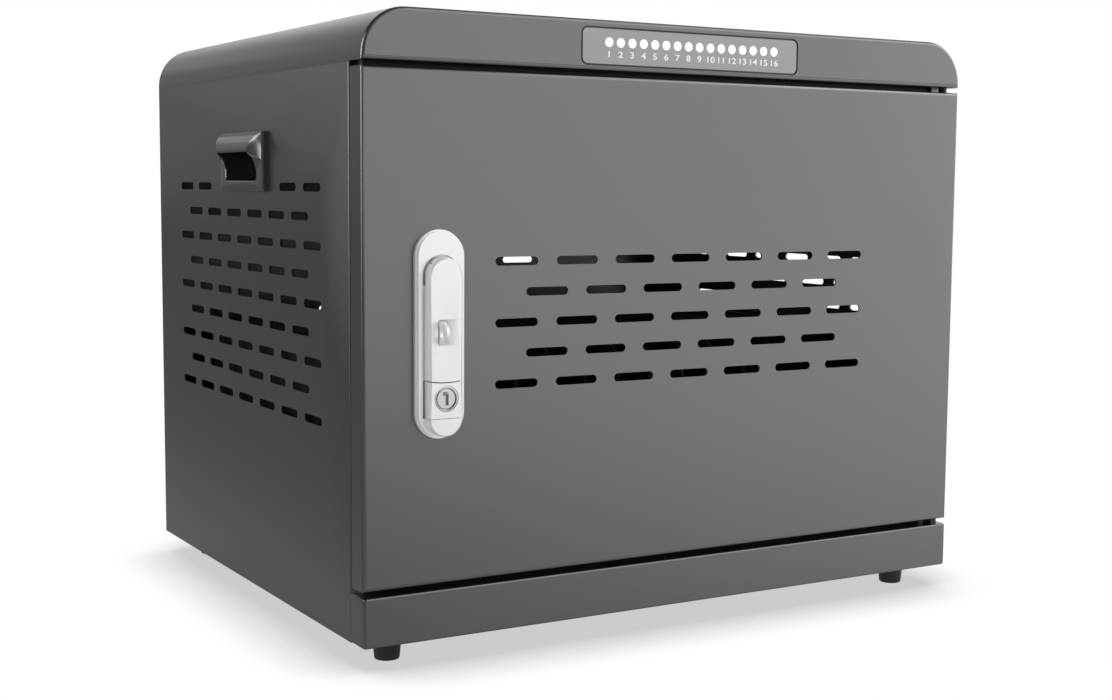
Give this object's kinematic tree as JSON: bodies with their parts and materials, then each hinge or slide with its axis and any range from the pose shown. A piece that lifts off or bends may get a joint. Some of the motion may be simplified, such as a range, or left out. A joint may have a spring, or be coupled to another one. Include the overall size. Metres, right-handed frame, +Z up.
{
  "type": "charging cabinet",
  "caption": "Desktop sheet-metal charging cabinet: hinged vented door with a flush swing-handle lock, indicator strip above, hooded side grips, device bays inside.",
  "frame": {"origin": "centre of the overall box in plan, on the plane under the feet", "axes": "+Z up, -Y out of the door, +X towards the hinge side"},
  "size_m": [0.5016, 0.4256, 0.407],
  "materials": {
    "body_paint": "fine satin powder coat",
    "divider_plastic": "moulded",
    "handle_plastic": "satin",
    "lock_lacquer": "satin silver lacquer",
    "lock_casting": "as cast",
    "lock_chrome": "polished plating",
    "steel": "bright zinc plating",
    "rubber": "matt",
    "window_plastic": "satin",
    "led_lens": "diffused lens",
    "board": "solder mask",
    "supply_metal": "plain sheet",
    "connector_plastic": "moulded",
    "fitting_plastic": "moulded",
    "blade_metal": "nickel plating"
  },
  "bodies": {
    "cabinet": {"front_fascia": "body_paint", "top_cover": "body_paint", "side_panel_left": "body_paint", "side_panel_right": "body_paint", "plinth": "body_paint", "base_pan": "body_paint", "back_panel": "body_paint", "rear_angles": "body_paint", "door_frame": "body_paint", "shelf": "body_paint", "electronics_tray": "body_paint", "dividers": "divider_plastic", "side_handle_left": "handle_plastic", "side_handle_right": "handle_plastic", "hinge_pin_upper": "steel", "hinge_pin_lower": "steel", "back_screws": "steel", "feet": "rubber", "door_bumpers": "rubber", "indicator_plate": "window_plastic", "indicator_leds": "led_lens", "indicator_board": "board", "output_board": "board", "power_supply": "supply_metal", "board_standoffs": "supply_metal", "terminal_block": "connector_plastic", "output_headers": "connector_plastic", "power_inlet": "fitting_plastic", "switch_housing": "fitting_plastic", "inlet_blades": "blade_metal"},
    "door": {"door_skin": "body_paint", "door_channel": "body_paint", "lock_dish": "lock_lacquer", "lock_case": "lock_casting", "lock_screws": "steel"},
    "spindle": {"spindle": "steel", "cam": "steel", "cam_nut": "steel"},
    "lever": {"lever": "lock_lacquer", "lever_pin": "steel", "padlock_eye": "lock_lacquer"},
    "button": {"button": "lock_lacquer", "key_cylinder": "lock_chrome"},
    "key_plug": {"key_plug": "lock_chrome"},
    "rocker": {"rocker": "fitting_plastic"}
  },
  "joints": [
    {"name": "door_hinge", "type": "hinge", "parent": "cabinet", "child": "door", "pos_m": [0.232, -0.18064, 0.21125], "axis": [0, 0, 1], "range_deg": [0, 120]},
    {"name": "spindle_turn", "type": "hinge", "parent": "door", "child": "spindle", "pos_m": [-0.1896, -0.18964, 0.24545], "axis": [0, -1, 0], "range_deg": [0, 90]},
    {"name": "lever_lift", "type": "hinge", "parent": "spindle", "child": "lever", "pos_m": [-0.1896, -0.19754, 0.2524], "axis": [-1, 0, 0], "range_deg": [0, 40]},
    {"name": "button_press", "type": "slide", "parent": "door", "child": "button", "axis": [0, 1, 0], "range_m": [0, 0.0025], "stiffness_N_per_m": 600, "springref_m": -0.002},
    {"name": "key_turn", "type": "hinge", "parent": "button", "child": "key_plug", "pos_m": [-0.1896, -0.18964, 0.17], "axis": [0, -1, 0], "range_deg": [0, 90]},
    {"name": "rocker_switch", "type": "hinge", "parent": "cabinet", "child": "rocker", "pos_m": [0.2, 0.20676, 0.061], "axis": [1, 0, 0], "range_deg": [0, 17]}
  ]
}
